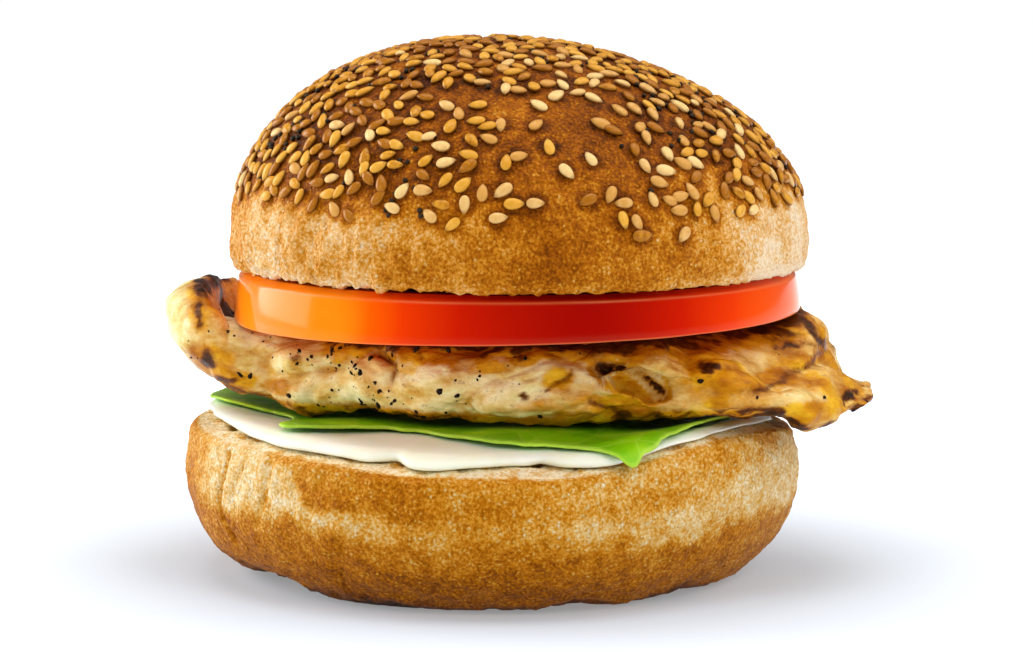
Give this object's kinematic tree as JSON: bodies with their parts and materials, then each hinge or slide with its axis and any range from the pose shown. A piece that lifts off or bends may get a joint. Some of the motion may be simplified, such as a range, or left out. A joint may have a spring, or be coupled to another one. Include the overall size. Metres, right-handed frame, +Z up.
{
  "type": "chicken burger",
  "caption": "Grilled chicken fillet burger: seeded bun crown over tomato, chicken, lettuce and mayonnaise on a round bun heel.",
  "frame": {"origin": "centre of the heel's flat underside", "axes": "+Z up through the layers, -Y towards the shown front, +X towards the thin tip of the fillet"},
  "size_m": [0.1157, 0.1008, 0.0872],
  "materials": {
    "bun_crust": "baked bread crust, matt",
    "mayonnaise": "glossy cream",
    "lettuce": "waxy leaf",
    "grilled_chicken": "moist grilled meat",
    "tomato": "glossy tomato skin",
    "seeded_crust": "baked crust with sesame and poppy seeds"
  },
  "bodies": {
    "root": {"bun_heel": "bun_crust", "mayonnaise": "mayonnaise", "lettuce_leaf": "lettuce", "chicken_fillet": "grilled_chicken", "tomato_slice": "tomato", "bun_crown": "seeded_crust"}
  },
  "joints": []
}
